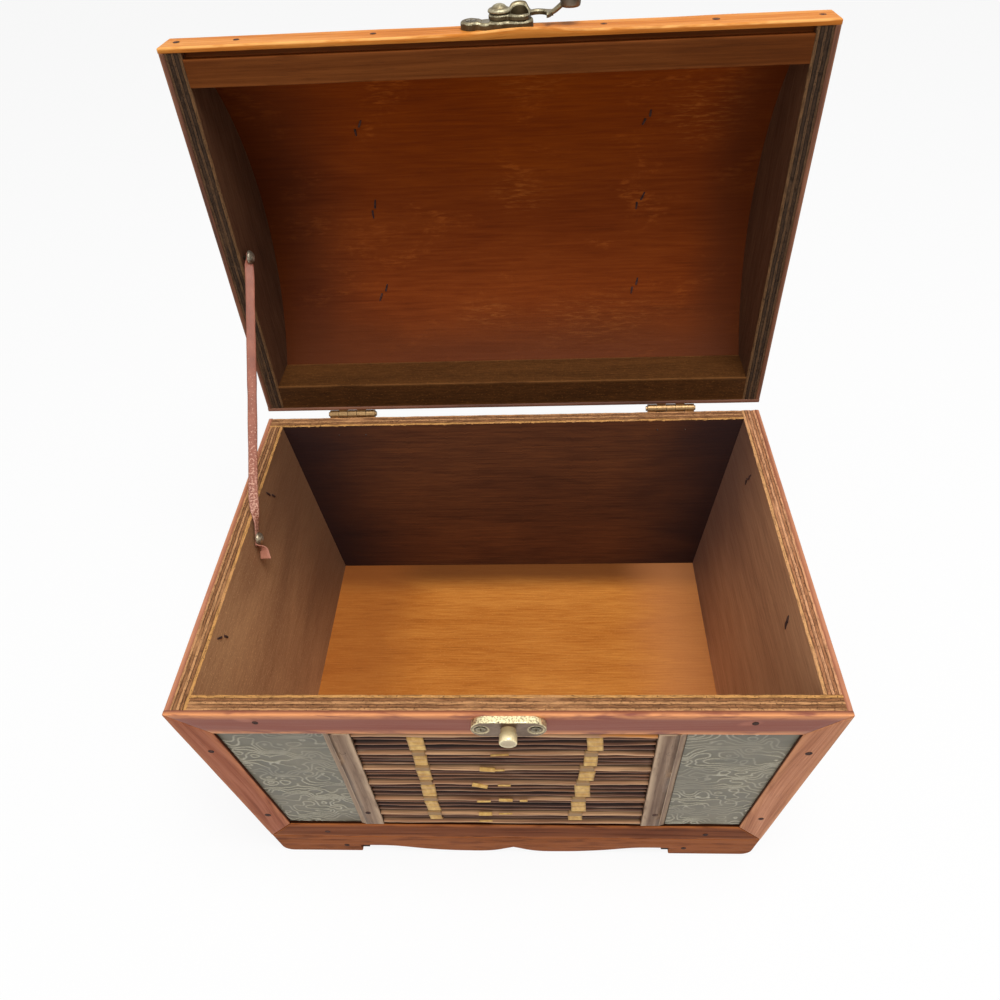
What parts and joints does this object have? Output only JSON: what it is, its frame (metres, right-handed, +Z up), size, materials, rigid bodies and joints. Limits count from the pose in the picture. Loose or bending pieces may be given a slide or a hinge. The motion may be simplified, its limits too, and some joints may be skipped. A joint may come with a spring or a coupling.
{
  "type": "arched lid trunk",
  "caption": "Small flared wooden trunk with an arched top-hinged lid, bamboo and embossed panels, scalloped base, hinged lid on a strap stay, and a hook that catches a stud.",
  "frame": {"origin": "on the floor plane under the middle of the box that bounds the trunk with its lid open", "axes": "+X to the right seen from the front, +Y from the front to the back, +Z up"},
  "size_m": [0.38, 0.3544, 0.4803],
  "materials": {
    "ply": "rough sawn plywood, stained golden brown",
    "pine": "red-brown stained pine, satin, worn edges",
    "batten": "grey-brown worn wood",
    "embossed": "embossed sheet, dark grey-green, satin",
    "bamboo": "split bamboo, satin",
    "straw": "straw",
    "plate_brass": "antique brass, bright on worn rims",
    "hinge_brass": "bright brass",
    "screw": "dull plated steel",
    "nail": "dark steel",
    "strap": "red-brown faux leather, cracked"
  },
  "bodies": {
    "chest": {"front_panel": "ply", "back_panel": "ply", "left_panel": "ply", "right_panel": "ply", "bottom_panel": "ply", "foot_blocks": "ply", "front_base_board": "pine", "left_base_board": "pine", "right_base_board": "pine", "front_top_rail": "pine", "front_bottom_rail": "pine", "front_left_stile": "pine", "front_right_stile": "pine", "front_battens": "batten", "front_relief_panels": "embossed", "front_cane_rods": "bamboo", "front_cane_ties": "straw", "left_side_frame": "pine", "left_side_battens": "batten", "left_relief_panels": "embossed", "left_cane_rods": "bamboo", "left_cane_ties": "straw", "right_side_frame": "pine", "right_side_battens": "batten", "right_relief_panels": "embossed", "right_cane_rods": "bamboo", "right_cane_ties": "straw", "catch_plate": "plate_brass", "catch_stud": "plate_brass", "catch_screws": "screw", "hinge_body_leaves": "hinge_brass", "hinge_pins": "hinge_brass", "hinge_body_screws": "screw", "body_nails": "nail", "body_staples": "nail", "strap_nail": "screw", "stay_strap": "strap"},
    "lid": {"lid_front_batten": "ply", "lid_back_batten": "ply", "lid_left_wall": "ply", "lid_right_wall": "ply", "lid_top_panel": "ply", "lid_front_rail": "pine", "lid_side_trims": "pine", "lid_back_trim": "pine", "lid_top_rails": "pine", "lid_top_end_boards": "pine", "lid_top_battens": "batten", "lid_relief_panels": "embossed", "lid_cane_rods": "bamboo", "lid_cane_ties": "straw", "hinge_lid_leaves": "hinge_brass", "hinge_lid_screws": "screw", "hasp_plate": "plate_brass", "hasp_screw": "screw", "hasp_rivet": "plate_brass", "lid_nails": "nail", "lid_staples": "nail", "strap_rivet": "screw"},
    "latch": {"latch_arm": "plate_brass"}
  },
  "joints": [
    {"name": "lid_hinge", "type": "hinge", "parent": "chest", "child": "lid", "pos_m": [0, 0.09381, 0.2042], "axis": [1, 0, 0], "range_deg": [0, 93], "deforming": ["stay_strap"]},
    {"name": "latch_pivot", "type": "hinge", "parent": "lid", "child": "latch", "pos_m": [0.004, 0.12052, 0.46165], "axis": [0, -0.0523, -0.9986], "range_deg": [-90, 90]}
  ]
}
